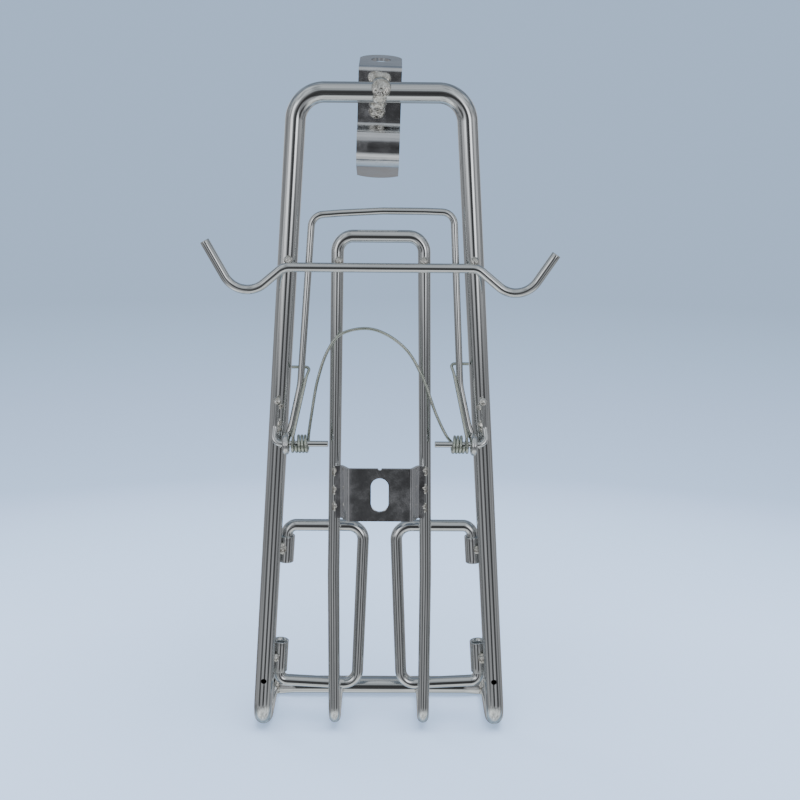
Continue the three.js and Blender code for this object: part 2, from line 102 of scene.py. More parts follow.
# Hanger strap
STRAP_WIDTH, STRAP_SHIFT, STRAP_TWIST = 26.8, -1.3, 1.5
STRAP_WEB_TOP, STRAP_WEB_BOTTOM, STRAP_BULGE, STRAP_BULGE_LENGTH = 14.5, 20, 7.2, 24
STRAP_UPPER_EAR, STRAP_UPPER_TILT = 40, math.radians(13.2)
STRAP_LOWER_EAR, STRAP_LOWER_TILT = 32.4, math.radians(15)
STRAP_FOLD, STRAP_BULGE_BEND, STRAP_BULGE_FOOT = 2.5, 11, 5
UPPER_END_RADIUS, LOWER_END_RADIUS = 13.6, 17.2
STRAP_HOLE, STRAP_HOLE_FROM_FOLD = 12.5, 23
STRAP_DEPTH = TUBE_RADIUS + WELD_GAP + SHEET / 2
STRAP_UPPER_FOLD = FRAME_TOP_HEIGHT + STRAP_WEB_TOP
STRAP_LOWER_FOLD = FRAME_TOP_HEIGHT - STRAP_WEB_BOTTOM - STRAP_BULGE_LENGTH

# Wing sockets and wings, along the legs
UPPER_SOCKET_LENGTH, LOWER_SOCKET_LENGTH, SOCKET_ANGLE = 18.5, 22.5, math.radians(39)
UPPER_SOCKET_TOP, LOWER_SOCKET_BOTTOM = 144.8, 44.8
SOCKET_RADIUS = WING_ROD / 2 + SOCKET_CLEARANCE + SOCKET_WALL
SOCKET_OFFSET = TUBE_RADIUS + WELD_GAP + SOCKET_RADIUS
SOCKET_INSET = SOCKET_OFFSET * math.cos(SOCKET_ANGLE)
SOCKET_PLANE = SOCKET_OFFSET * math.sin(SOCKET_ANGLE)
WING_TUCK, WING_CLEAR, WING_REACH_TOP, WING_REACH_BOTTOM = 17, 7.4, 51.3, 54.8
WING_TOP_RISE, WING_BOTTOM_RISE, WING_END_BEND, WING_CORNER_BEND = 3.5, 0.8, 6.3, 10

# Pivot pins and spring bail
PIN_HEIGHT, PIN_STAND_OFF, PIN_PAST_COIL = 214, 6.35, {-1: 13.2, 1: 11.2}
PIN_FORWARD = TUBE_RADIUS + PIN_STAND_OFF
PIN_POST_TOP, PIN_POST_BEND, PIN_POST_ANGLE, PIN_ELBOW_OUT = 28, 10, math.radians(10), 2.2
EYE_CLEARANCE, EYE_INSET, EYE_OVERLAP, EYE_RISE = 0.75, 0.1, 2.2, 1.4
EYE_RADIUS = (PIN_ROD + BAIL_ROD) / 2 + EYE_CLEARANCE
BAIL_KNEE_HEIGHT, BAIL_KNEE_INSET, BAIL_ELBOW_HEIGHT, BAIL_ELBOW_INSET = 11, 2.8, 38, 6.85
BAIL_TOP_RISE, BAIL_TOP_INSET = 14, 6.25
BAIL_TOP_HEIGHT = HOOP_TOP_HEIGHT + BAIL_TOP_RISE - PIN_HEIGHT
BAIL_BOW, BAIL_TOP_SHIFT, BAIL_TOP_TILT = 2.6, 1.2, 1.2

# Torsion spring
COIL_CLEARANCE, COIL_TURNS, COIL_INSET, ARCH_HEIGHT = 2.1, 3.5, 14.1, 75
COIL_RADIUS = (PIN_ROD + SPRING_WIRE) / 2 + COIL_CLEARANCE
SPRING_HOOK_HEIGHTS = {-1: 48.6, 1: 51.4}
SPRING_HOOK_INSET, SPRING_HOOK_OUT = 5.3, 6.5

# The pivot of the bail is where its hinge is in the frame, and the legs' plane lies behind it.
bail_hinge = next(joint for joint in frame["joints"] if joint["name"] == "bail_hinge")
LEG_PLANE = bail_hinge["pos_m"][1] / MM + PIN_FORWARD
SIDES = {-1: "left", 1: "right"}

random.seed(7)
weld_spots = []


def place(point):
    """A point of the rack, in millimetres, as a point of the row frame, in metres."""
    return Vector((point[0], point[1] + LEG_PLANE, point[2])) * MM


# ---- Centre lines ----


def corner(x, y, z, bend=0.0):
    return Vector((x, y, z)), bend


def corner_arc(before, here, after, step):
    """The arc that rounds one corner, from the run before it to the run after it."""
    point, bend = here
    into = (point - before).normalized()
    out = (after - point).normalized()
    turn = into.angle(out, 0.0)
    if bend == 0 or turn < 1e-4:
        return [point]
    start = point - into * bend * math.tan(turn / 2)
    inward = (out - into * into.dot(out)).normalized()
    steps = max(2, math.ceil(turn / math.radians(step)))
    arc = []
    for i in range(steps + 1):
        angle = turn * i / steps
        arc.append(start + into * bend * math.sin(angle) + inward * bend * (1 - math.cos(angle)))
    return arc


def bent_rod(corners, step=5, spacing=4.0):
    """A centre line with its corners rounded and its straight runs divided evenly."""
    rough = [corners[0][0]]
    for i in range(1, len(corners) - 1):
        arc = corner_arc(corners[i - 1][0], corners[i], corners[i + 1][0], step)
        rough += [point for point in arc if (point - rough[-1]).length > 0.02]
    rough.append(corners[-1][0])
    line = [rough[0]]
    for point in rough[1:]:
        start = line[-1]
        parts = max(1, math.ceil((point - start).length / spacing))
        line += [start.lerp(point, (i + 1) / parts) for i in range(parts)]
    return line


def mirrored(half, middle=()):
    """Both halves of a symmetrical rod's corners, from the -X side to the +X side."""
    other = [(Vector((-p.x, p.y, p.z)), bend) for p, bend in half]
    return other + list(middle) + half[::-1]


# ---- Meshes ----


def carried_axes(line):
    """Each point's tangent and two cross directions, carried along the line without twist."""
    tangents = []
    for i in range(len(line)):
        into = (line[i] - line[i - 1]).normalized() if i else Vector()
        out = (line[i + 1] - line[i]).normalized() if i < len(line) - 1 else Vector()
        tangents.append((into + out).normalized())
    across = tangents[0].orthogonal()
    axes = []
    for tangent in tangents:
        across = (across - tangent * across.dot(tangent)).normalized()
        axes.append((tangent, across, tangent.cross(across)))
    return axes


def rings_along(line, radius, edge):
    """Rings of a rod, as (centre, axes, radius, length so far), with its two ends rounded by edge."""
    axes = carried_axes(line)
    rings = []
    travelled = 0.0
    for i, point in enumerate(line):
        travelled += (point - line[i - 1]).length if i else 0.0
        rings.append((point, axes[i], radius, travelled))
    if edge == 0:
        return rings
    return end_rings(rings[0], edge, 1) + rings[1:-1] + end_rings(rings[-1], edge, -1)[::-1]


def end_rings(ring, edge, way):
    point, axes, radius, travelled = ring
    steps = 4
    made = []
    for i in range(steps + 1):
        angle = math.pi / 2 * i / steps
        inset = edge * (1 - math.sin(angle))
        along = way * edge * (1 - math.cos(angle))
        made.append((point + axes[0] * along, axes, radius - inset, travelled + along))
    return made


def mesh_of_rings(name, rings, sides, closed):
    """A surface through rings: closed back on its first ring, or capped at both ends.
    Its "rod" attribute holds each point's place on the rod as if it were straightened."""
    points, rod, faces = [], [], []
    for centre, (_, across, up), radius, travelled in rings:
        for i in range(sides):
            angle = 2 * math.pi * i / sides
            x, y = math.cos(angle) * radius, math.sin(angle) * radius
            points.append(place(centre + across * x + up * y))
            rod.append((x * MM, y * MM, travelled * MM))
    spans = len(rings) if closed else len(rings) - 1
    for r in range(spans):
        this, following = r * sides, ((r + 1) % len(rings)) * sides
        for i in range(sides):
            j = (i + 1) % sides
            faces.append((this + i, this + j, following + j, following + i))
    if not closed:
        faces.append(tuple(reversed(range(sides))))
        faces.append(tuple(range((len(rings) - 1) * sides, len(rings) * sides)))
    mesh = bpy.data.meshes.new(name)
    mesh.from_pydata(points, [], faces)
    attribute = mesh.attributes.new("rod", "FLOAT_VECTOR", "POINT")
    attribute.data.foreach_set("vector", np.array(rod, np.float32).ravel())
    for face in mesh.polygons:
        face.use_smooth = len(face.vertices) == 4
    return mesh


def piece(name, mesh, body, slot, material, *nodes):
    obj = bpy.data.objects.new(name, mesh)
    bpy.context.scene.collection.objects.link(obj)
    mesh.materials.clear()
    mesh.materials.append(material)
    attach(obj, body)
    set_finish(obj, slot)
    if nodes:
        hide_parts(*nodes)
    return obj


def rod(name, line, diameter, body, slot, material, node, edge=0.5, sides=28):
    mesh = mesh_of_rings(name, rings_along(line, diameter / 2, edge), sides, False)
    return piece(name, mesh, body, slot, material, node)


def tube_mesh(name, line, diameter, wall, sides=40, rim=0.25):
    """A tube whose two open ends show its wall."""
    outer = rings_along(line, diameter / 2, rim)
    inner = rings_along(line, diameter / 2 - wall, 0)
    axes = outer[0][1]
    inner[0] = (inner[0][0] + axes[0] * rim * 0.5, *inner[0][1:])
    last = inner[-1]
    inner[-1] = (last[0] - last[1][0] * rim * 0.5, *last[1:])
    return mesh_of_rings(name, outer + inner[::-1], sides, True)


def cut(obj, cutters):
    """Cuts solid meshes out of a piece for good."""
    bpy.context.view_layer.update()
    for cutter in cutters:
        tool = bpy.data.objects.new("cutter", cutter)
        bpy.context.scene.collection.objects.link(tool)
        modifier = obj.modifiers.new("cut", "BOOLEAN")
        modifier.operation = "DIFFERENCE"
        modifier.solver = "EXACT"
        modifier.object = tool
        apply_modifiers(obj)
        bpy.data.objects.remove(tool)
        bpy.data.meshes.remove(cutter)
    obj.data.set_sharp_from_angle(angle=math.radians(35))


def apply_modifiers(obj):
    graph = bpy.context.evaluated_depsgraph_get()
    made = bpy.data.meshes.new_from_object(obj.evaluated_get(graph))
    obj.modifiers.clear()
    old = obj.data
    obj.data = made
    bpy.data.meshes.remove(old)


def round_edges(obj, width, angle=40):
    modifier = obj.modifiers.new("edges", "BEVEL")
    modifier.width = width * MM
    modifier.segments = 3
    modifier.limit_method = "ANGLE"
    modifier.angle_limit = math.radians(angle)
    modifier.harden_normals = True
    apply_modifiers(obj)


def prism(name, outline, depth, matrix=None):
    """A solid through an (x, z) outline, centred on y = 0, then moved by matrix."""
    half = depth / 2
    points = [Vector((x, -half, z)) for x, z in outline] + [Vector((x, half, z)) for x, z in outline]
    if matrix:
        points = [matrix @ point for point in points]
    count = len(outline)
    faces = [tuple(range(count)), tuple(reversed(range(count, 2 * count)))]
    faces += [(i, i + count, (i + 1) % count + count, (i + 1) % count) for i in range(count)]
    mesh = bpy.data.meshes.new(name)
    mesh.from_pydata([place(point) for point in points], [], faces)
    solid = bmesh.new()
    solid.from_mesh(mesh)
    bmesh.ops.recalc_face_normals(solid, faces=solid.faces)
    solid.to_mesh(mesh)
    solid.free()
    return mesh


def arc_points(x, z, radius, start, end, steps):
    angles = [start + (end - start) * i / steps for i in range(steps + 1)]
    return [(x + radius * math.cos(a), z + radius * math.sin(a)) for a in angles]


def folded_sheet(name, line, thickness, rows, to_space):
    """A folded sheet: a centre line seen from its edge, thickened, and repeated at each of the rows."""
    axes = carried_axes(line)
    front, back = [], []
    for point, (tangent, _, _) in zip(line, axes):
        side = Vector((-tangent.z, 0, tangent.x)) * thickness / 2
        front.append(point + side)
        back.append(point - side)
    outline = front + back[::-1]
    count = len(outline)
    points = [place(to_space(point, row)) for row in rows for point in outline]
    faces = []
    for r in range(len(rows) - 1):
        for i in range(count):
            j = (i + 1) % count
            faces.append((r * count + i, r * count + j, (r + 1) * count + j, (r + 1) * count + i))
    half = len(line)
    for r, flip in ((0, False), (len(rows) - 1, True)):
        for i in range(half - 1):
            face = [r * count + i, r * count + count - 1 - i, r * count + count - 2 - i, r * count + i + 1]
            faces.append(tuple(reversed(face)) if flip else tuple(face))
    mesh = bpy.data.meshes.new(name)
    mesh.from_pydata(points, [], faces)
    solid = bmesh.new()
    solid.from_mesh(mesh)
    bmesh.ops.recalc_face_normals(solid, faces=solid.faces)
    solid.to_mesh(mesh)
    solid.free()
    for face in mesh.polygons:
        face.use_smooth = True
    return mesh


# ---- Materials ----


def node(tree, kind, inputs=(), **settings):
    made = tree.nodes.new(kind)
    for name, value in settings.items():
        setattr(made, name, value)
    for socket, value in dict(inputs).items():
        if isinstance(value, bpy.types.NodeSocket):
            tree.links.new(value, made.inputs[socket])
        else:
            made.inputs[socket].default_value = value
    return made


def attribute(tree, name, output="Vector"):
    return node(tree, "ShaderNodeAttribute", attribute_name=name).outputs[output]


def object_place(tree):
    return node(tree, "ShaderNodeTexCoord").outputs["Object"]


def noise_at(tree, place_socket, stretch, detail=3.0, roughness=0.55):
    scaled = node(tree, "ShaderNodeMapping", {"Vector": place_socket, "Scale": stretch})
    inputs = {"Vector": scaled.outputs["Vector"], "Scale": 1.0, "Detail": detail, "Roughness": roughness}
    return node(tree, "ShaderNodeTexNoise", inputs).outputs["Fac"]


def spread(tree, value, low, high, from_low=0.3, from_high=0.7):
    inputs = {"Value": value, "From Min": from_low, "From Max": from_high, "To Min": low, "To Max": high}
    return node(tree, "ShaderNodeMapRange", inputs).outputs["Result"]


def mixed(tree, share, first, second, blend="MIX"):
    made = node(tree, "ShaderNodeMix", data_type="RGBA", blend_type=blend)
    for index, value in ((0, share), (6, first), (7, second)):
        if isinstance(value, bpy.types.NodeSocket):
            tree.links.new(value, made.inputs[index])
        else:
            made.inputs[index].default_value = value
    return made.outputs[2]


def times(tree, first, second):
    inputs = {0: first, 1: second}
    return node(tree, "ShaderNodeMath", inputs, operation="MULTIPLY").outputs[0]


def bumped(tree, height, distance, strength, below=None):
    inputs = {"Height": height, "Distance": distance * MM, "Strength": strength}
    if below:
        inputs["Normal"] = below
    return node(tree, "ShaderNodeBump", inputs).outputs["Normal"]


def new_material(name):
    made = bpy.data.materials.new(name)
    made.use_nodes = True
    tree = made.node_tree
    shader = tree.nodes["Principled BSDF"]
    shader.inputs["Metallic"].default_value = 1.0
    return made, tree, shader


def polished_steel():
    """Polished stainless tube and rod: fine scratches along it, faint smears, and a straw tint at welds."""
    made, tree, shader = new_material("polished_steel")
    along = attribute(tree, "rod")
    smears = noise_at(tree, along, (160, 160, 38), 4)
    fine = noise_at(tree, along, (2600, 2600, 60), 2)
    ripple = noise_at(tree, along, (90, 90, 26), 2)
    heat = attribute(tree, "heat", "Fac")
    patchy = times(tree, heat, spread(tree, smears, 0.35, 1.0))
    clean = mixed(tree, spread(tree, smears, 0.0, 1.0), (0.70, 0.71, 0.705, 1), (0.62, 0.635, 0.635, 1))
    tinted = mixed(tree, patchy, clean, (0.60, 0.50, 0.36, 1))
    tree.links.new(tinted, shader.inputs["Base Color"])
    base = spread(tree, smears, 0.05, 0.12)
    rough = node(tree, "ShaderNodeMath", {0: base, 1: times(tree, heat, 0.16)}, operation="ADD")
    tree.links.new(rough.outputs[0], shader.inputs["Roughness"])
    waves = bumped(tree, ripple, 0.02, 0.6)
    tree.links.new(bumped(tree, fine, 0.0015, 0.4, waves), shader.inputs["Normal"])
    return made


def brushed_sheet():
    """Polished sheet with fine brushing across it and mottled smears."""
    made, tree, shader = new_material("brushed_sheet")
    here = object_place(tree)
    brushing = noise_at(tree, here, (60, 2400, 2400), 3)
    smears = noise_at(tree, here, (95, 95, 95), 5, 0.62)
    dents = noise_at(tree, here, (48, 48, 48), 2)
    colour = mixed(tree, spread(tree, smears, 0.0, 1.0), (0.63, 0.635, 0.65, 1), (0.74, 0.745, 0.76, 1))
    tree.links.new(colour, shader.inputs["Base Color"])
    tree.links.new(spread(tree, smears, 0.06, 0.26), shader.inputs["Roughness"])
    waves = bumped(tree, dents, 0.3, 0.7)
    tree.links.new(bumped(tree, brushing, 0.006, 0.6, waves), shader.inputs["Normal"])
    return made


def zinc_wire():
    """Zinc plated spring wire: a little yellow-green, duller than the rods, with drawing marks."""
    made, tree, shader = new_material("zinc_wire")
    along = attribute(tree, "rod")
    patches = noise_at(tree, along, (420, 420, 160), 4)
    drawing = noise_at(tree, along, (5200, 5200, 110), 2)
    colour = mixed(tree, spread(tree, patches, 0.0, 1.0), (0.42, 0.46, 0.40, 1), (0.60, 0.63, 0.57, 1))
    tree.links.new(colour, shader.inputs["Base Color"])
    tree.links.new(spread(tree, patches, 0.24, 0.40), shader.inputs["Roughness"])
    tree.links.new(bumped(tree, drawing, 0.006, 0.6), shader.inputs["Normal"])
    return made


def weld_metal():
    """Bare weld beads: dull and bright patches at random in colour and roughness, and fine ripples left as
    the pool froze.
    """
    made, tree, shader = new_material("weld_metal")
    here = object_place(tree)
    grain = noise_at(tree, here, (1500, 1500, 1500), 4)
    patches = noise_at(tree, here, (330, 330, 330), 3)
    colour = mixed(tree, spread(tree, patches, 0.0, 1.0), (0.42, 0.40, 0.35, 1), (0.80, 0.79, 0.75, 1))
    tree.links.new(colour, shader.inputs["Base Color"])
    tree.links.new(spread(tree, patches, 0.09, 0.26), shader.inputs["Roughness"])
    tree.links.new(bumped(tree, grain, 0.06, 0.7), shader.inputs["Normal"])
    return made


# ---- Frame ----


def leg_x(height):
    share = (height - FOOT_HEIGHT) / (FRAME_TOP_HEIGHT - FOOT_HEIGHT)
    return (FRAME_FOOT_WIDTH + (FRAME_TOP_WIDTH - FRAME_FOOT_WIDTH) * share) / 2


def bail_x(height, inset):
    """How far the bail's arms stand from the middle, at a height above the pivot axis."""
    return leg_x(PIN_HEIGHT + height) - TUBE_RADIUS - inset


def coil_inner_end():
    return bail_x(0, EYE_INSET) - COIL_INSET


def leg_point(side, x, y, z):
    """A point given in the leg's own frame, whose upright axis is the leg's centre line."""
    turn = Matrix.Rotation(-side * LEG_LEAN, 3, "Y")
    return turn @ Vector((x, y, z)) + Vector((side * leg_x(0), 0, 0))


def outer_frame(material):
    half = [
        corner(leg_x(FOOT_HEIGHT), FOOT_END, FOOT_HEIGHT),
        corner(leg_x(FOOT_HEIGHT), 0, FOOT_HEIGHT, FRAME_BEND),
        corner(leg_x(FRAME_TOP_HEIGHT), 0, FRAME_TOP_HEIGHT, FRAME_BEND),
    ]
    line = bent_rod(mirrored(half), step=3)
    mesh = tube_mesh("outer_frame_tube", line, TUBE, TUBE_WALL)
    obj = piece("outer_frame_tube", mesh, "frame", "polished_tube", material, "outer_frame")
    cutters = []
    for side in SIDES:
        x = side * leg_x(VENT_HEIGHT)
        ring = arc_points(x, VENT_HEIGHT, VENT_DIAMETER / 2, 0, 2 * math.pi, 32)[:-1]
        to_front = Matrix.Translation(Vector((0, -TUBE_RADIUS, 0)))
        cutters.append(prism("vent", ring, TUBE_RADIUS, to_front))
    cut(obj, cutters)
    return obj


def foot_cap(side, material):
    radius = TUBE_RADIUS - TUBE_WALL - CAP_CLEARANCE
    x = side * leg_x(FOOT_HEIGHT)
    line = [Vector((x, FOOT_END - CAP_THICKNESS, FOOT_HEIGHT)), Vector((x, FOOT_END, FOOT_HEIGHT))]
    name = "foot_cap_" + SIDES[side]
    return rod(name + "_disc", line, 2 * radius, "frame", "polished_tube", material, name, edge=0.35)


def cross_tube(material):
    half_length = leg_x(FOOT_HEIGHT) - TUBE_RADIUS - WELD_GAP
    steps = 150
    places = [half_length * (2 * i / steps - 1) for i in range(steps + 1)]
    line = [Vector((x, CROSS_SETBACK, CROSS_HEIGHT)) for x in places]
    mesh = tube_mesh("cross_tube_body", line, TUBE, TUBE_WALL)
    middle = place((0, CROSS_SETBACK, CROSS_HEIGHT))
    for vertex in mesh.vertices:
        from_end = half_length - abs(vertex.co.x) / MM
        share = min(1, max(0, from_end / PINCH_LENGTH))
        share = 1 - share * share * (3 - 2 * share)
        vertex.co.y = middle.y + (vertex.co.y - middle.y) * (1 - share * PINCH_DEPTH / TUBE_RADIUS)
        vertex.co.z = middle.z + (vertex.co.z - middle.z) * (1 + share * PINCH_RISE / TUBE_RADIUS)
    return piece("cross_tube_body", mesh, "frame", "polished_tube", material, "cross_tube")


def inner_hoop(material):
    half = [
        corner(HOOP_FOOT_WIDTH / 2, CROSS_SETBACK - TUBE_RADIUS - WELD_GAP, CROSS_HEIGHT),
        corner(HOOP_FOOT_WIDTH / 2, HOOP_PLANE, CROSS_HEIGHT, HOOP_FOOT_BEND),
        corner(HOOP_FOOT_WIDTH / 2, HOOP_PLANE, HOOP_TAPER_HEIGHT, HOOP_TAPER_BEND),
        corner(HOOP_TOP_WIDTH / 2, HOOP_PLANE, HOOP_TOP_HEIGHT, HOOP_TOP_BEND),
    ]
    line = bent_rod(mirrored(half), step=4)
    return rod("inner_hoop_rod", line, HOOP_ROD, "frame", "polished_tube", material, "inner_hoop")


def hook_bar(material):
    leg = leg_x(HOOK_HEIGHT)
    half = [
        corner(leg + HOOK_TIP_OUT, HOOK_PLANE, HOOK_HEIGHT + RIGHT_TIP_RISE),
        corner(leg + HOOK_VALLEY_OUT, HOOK_PLANE, HOOK_HEIGHT - HOOK_VALLEY_DROP, HOOK_VALLEY_BEND),
        corner(leg + HOOK_SHOULDER_OUT, HOOK_PLANE, HOOK_HEIGHT, HOOK_SHOULDER_BEND),
    ]
    corners = mirrored(half)
    corners[0][0].z = HOOK_HEIGHT + LEFT_TIP_RISE
    line = bent_rod(corners, step=4)
    return rod("hook_bar_rod", line, HOOK_ROD, "frame", "polished_tube", material, "hook_bar")


def hoop_x(height):
    """How far the hoop's upright rods stand from the middle, above their taper."""
    share = (height - HOOP_TAPER_HEIGHT) / (HOOP_TOP_HEIGHT - HOOP_TAPER_HEIGHT)
    return (HOOP_FOOT_WIDTH + (HOOP_TOP_WIDTH - HOOP_FOOT_WIDTH) * share) / 2


def plate_line():
    """The plate's centre line seen from above, with x across and z for its depth."""
    edge = hoop_x(PLATE_HEIGHT) - PLATE_EDGE_INSET
    base = edge - PLATE_FLANGE - SHEET / 2
    flange_depth = -(TUBE_RADIUS + WELD_GAP) - SHEET / 2
    face_depth = flange_depth - PLATE_STAND_OFF
    half = [
        corner(edge, 0, flange_depth),
        corner(base, 0, flange_depth, PLATE_FOLD),
        corner(base - PLATE_WALL_RUN, 0, face_depth, PLATE_FOLD),
    ]
    return bent_rod(mirrored(half), step=8, spacing=3)


def mount_plate(material):
    rows = [PLATE_HEIGHT + PLATE_LENGTH * (i / 12 - 0.5) for i in range(13)]
    mesh = folded_sheet("mount_plate_sheet", plate_line(), SHEET, rows, lambda p, z: (p.x, p.z, z))
    obj = piece("mount_plate_sheet", mesh, "frame", "sheet_steel", material, "mount_plate")
    radius = SLOT_WIDTH / 2
    reach = SLOT_LENGTH / 2 - radius
    slot = arc_points(0, PLATE_HEIGHT + reach, radius, 0, math.pi, 24)
    slot += arc_points(0, PLATE_HEIGHT - reach, radius, math.pi, 2 * math.pi, 24)
    top = PLATE_HEIGHT + PLATE_LENGTH / 2
    nick = arc_points(0, top, NICK_RADIUS, 0, 2 * math.pi, 20)[:-1]
    through = 60
    cut(obj, [prism("slot", slot, through), prism("nick", nick, through)])
    round_edges(obj, 0.3)
    return obj


def strap_line():
    """The strap's centre line seen from its side, with x for its depth and z for its height."""
    bulge_top = FRAME_TOP_HEIGHT - STRAP_WEB_BOTTOM
    inset = STRAP_BULGE_LENGTH * 0.24
    bulge_depth = STRAP_DEPTH - STRAP_BULGE
    upper = (
        STRAP_DEPTH + STRAP_UPPER_EAR * math.cos(STRAP_UPPER_TILT),
        STRAP_UPPER_FOLD + STRAP_UPPER_EAR * math.sin(STRAP_UPPER_TILT),
    )
    lower = (
        STRAP_DEPTH + STRAP_LOWER_EAR * math.cos(STRAP_LOWER_TILT),
        STRAP_LOWER_FOLD - STRAP_LOWER_EAR * math.sin(STRAP_LOWER_TILT),
    )
    corners = [
        corner(upper[0], 0, upper[1]),
        corner(STRAP_DEPTH, 0, STRAP_UPPER_FOLD, STRAP_FOLD),
        corner(STRAP_DEPTH, 0, bulge_top, STRAP_BULGE_FOOT),
        corner(bulge_depth, 0, bulge_top - inset, STRAP_BULGE_BEND),
        corner(bulge_depth, 0, STRAP_LOWER_FOLD + inset, STRAP_BULGE_BEND),
        corner(STRAP_DEPTH, 0, STRAP_LOWER_FOLD, STRAP_FOLD),
        corner(lower[0], 0, lower[1]),
    ]
    return bent_rod(corners, step=8, spacing=3)


def ear_end(length, end_radius):
    """What lies outside an ear's rounded end, as an outline in the ear's own plane."""
    margin = 2
    edge = STRAP_WIDTH / 2
    centre = length - end_radius
    swing = math.acos(edge / end_radius)
    outline = [
        (edge + margin, centre + end_radius * math.sin(swing)),
        (edge + margin, length + margin),
        (-edge - margin, length + margin),
        (-edge - margin, centre + end_radius * math.sin(swing)),
    ]
    return outline + arc_points(0, centre, end_radius, math.pi - swing, swing, 28)


def hanger_strap(material):
    rows = [STRAP_WIDTH * (i / 12 - 0.5) for i in range(13)]
    mesh = folded_sheet("hanger_strap_sheet", strap_line(), SHEET, rows, lambda p, x: (x, p.x, p.z))
    obj = piece("hanger_strap_sheet", mesh, "frame", "sheet_steel", material, "hanger_strap")
    quarter = Matrix.Rotation(-math.pi / 2, 4, "X")
    upper = Matrix.Translation((0, STRAP_DEPTH, STRAP_UPPER_FOLD))
    upper = upper @ Matrix.Rotation(STRAP_UPPER_TILT, 4, "X") @ quarter
    lower = Matrix.Translation((0, STRAP_DEPTH, STRAP_LOWER_FOLD))
    lower = lower @ Matrix.Rotation(-STRAP_LOWER_TILT, 4, "X") @ quarter
    hole = arc_points(0, STRAP_HOLE_FROM_FOLD, STRAP_HOLE / 2, 0, 2 * math.pi, 48)[:-1]
    thick = 4 * SHEET
    cutters = [
        prism("hole", hole, thick, upper),
        prism("upper_end", ear_end(STRAP_UPPER_EAR, UPPER_END_RADIUS), thick, upper),
        prism("lower_end", ear_end(STRAP_LOWER_EAR, LOWER_END_RADIUS), thick, lower),
    ]
    cut(obj, cutters)
    pivot = place((0, 0, FRAME_TOP_HEIGHT))
    turn = Matrix.Rotation(math.radians(STRAP_TWIST), 4, "Y")
    shift = Matrix.Translation((STRAP_SHIFT * MM, 0, 0))
    obj.data.transform(shift @ Matrix.Translation(pivot) @ turn @ Matrix.Translation(-pivot))
    round_edges(obj, 0.3)
    return obj


def socket(kind, side, bottom, length, material):
    name = kind + "_socket_" + SIDES[side]
    ends = [leg_point(side, -side * SOCKET_INSET, SOCKET_PLANE, z) for z in (bottom, bottom + length)]
    line = [ends[0].lerp(ends[1], i / 6) for i in range(7)]
    mesh = tube_mesh(name + "_tube", line, 2 * SOCKET_RADIUS, SOCKET_WALL, sides=32)
    return piece(name + "_tube", mesh, "frame", "polished_tube", material, name)


def pivot_pin(side, material):
    reach = TUBE_RADIUS + WELD_GAP + PIN_ROD / 2
    outward = reach * math.sin(PIN_POST_ANGLE)
    plane = -reach * math.cos(PIN_POST_ANGLE)
    post_top = PIN_HEIGHT + PIN_POST_TOP
    post_bend = PIN_HEIGHT + PIN_POST_BEND
    corners = [
        corner(side * (leg_x(post_top) + outward), plane, post_top),
        corner(side * (leg_x(post_bend) + outward), plane, post_bend, 6),
        corner(side * (leg_x(PIN_HEIGHT) + PIN_ELBOW_OUT), -PIN_FORWARD, PIN_HEIGHT, 5),
        corner(side * (coil_inner_end() - PIN_PAST_COIL[side]), -PIN_FORWARD, PIN_HEIGHT),
    ]
    name = "pivot_pin_" + SIDES[side]
    line = bent_rod(corners, step=6, spacing=2)
    return rod(name + "_rod", line, PIN_ROD, "frame", "polished_tube", material, name, edge=0.4, sides=22)


# ---- Moving parts ----


def wing(side, material):
    top = UPPER_SOCKET_TOP + WING_CLEAR
    bottom = LOWER_SOCKET_BOTTOM - WING_CLEAR
    route = [
        (0, UPPER_SOCKET_TOP - WING_TUCK, 0),
        (0, top, WING_END_BEND),
        (WING_REACH_TOP, top + WING_TOP_RISE, WING_CORNER_BEND),
        (WING_REACH_BOTTOM, bottom + WING_BOTTOM_RISE, WING_CORNER_BEND),
        (0, bottom, WING_END_BEND),
        (0, LOWER_SOCKET_BOTTOM + WING_TUCK, 0),
    ]
    corners = []
    for reach, height, bend in route:
        point = leg_point(side, -side * (SOCKET_INSET + reach), SOCKET_PLANE, height)
        corners.append((point, bend))
    name = "side_wing_" + SIDES[side]
    body = "wing_" + SIDES[side]
    line = bent_rod(corners, step=4)
    return rod(name + "_rod", line, WING_ROD, body, "polished_tube", material, name)


def bail_depth(height):
    """How far the bail's arms lie behind their pivot axis at a height above it."""
    hook_back = HOOK_PLANE + HOOK_ROD / 2
    rest = hook_back + REST_GAP + BAIL_ROD / 2 + PIN_FORWARD
    share = height / (HOOK_HEIGHT - PIN_HEIGHT)
    return EYE_RADIUS + (rest - EYE_RADIUS) * share


def from_pivot(x, y, z):
    return Vector((x, y - PIN_FORWARD, z + PIN_HEIGHT))


def bail_arm(height, inset, bend):
    return corner(bail_x(height, inset), bail_depth(height), height, bend)


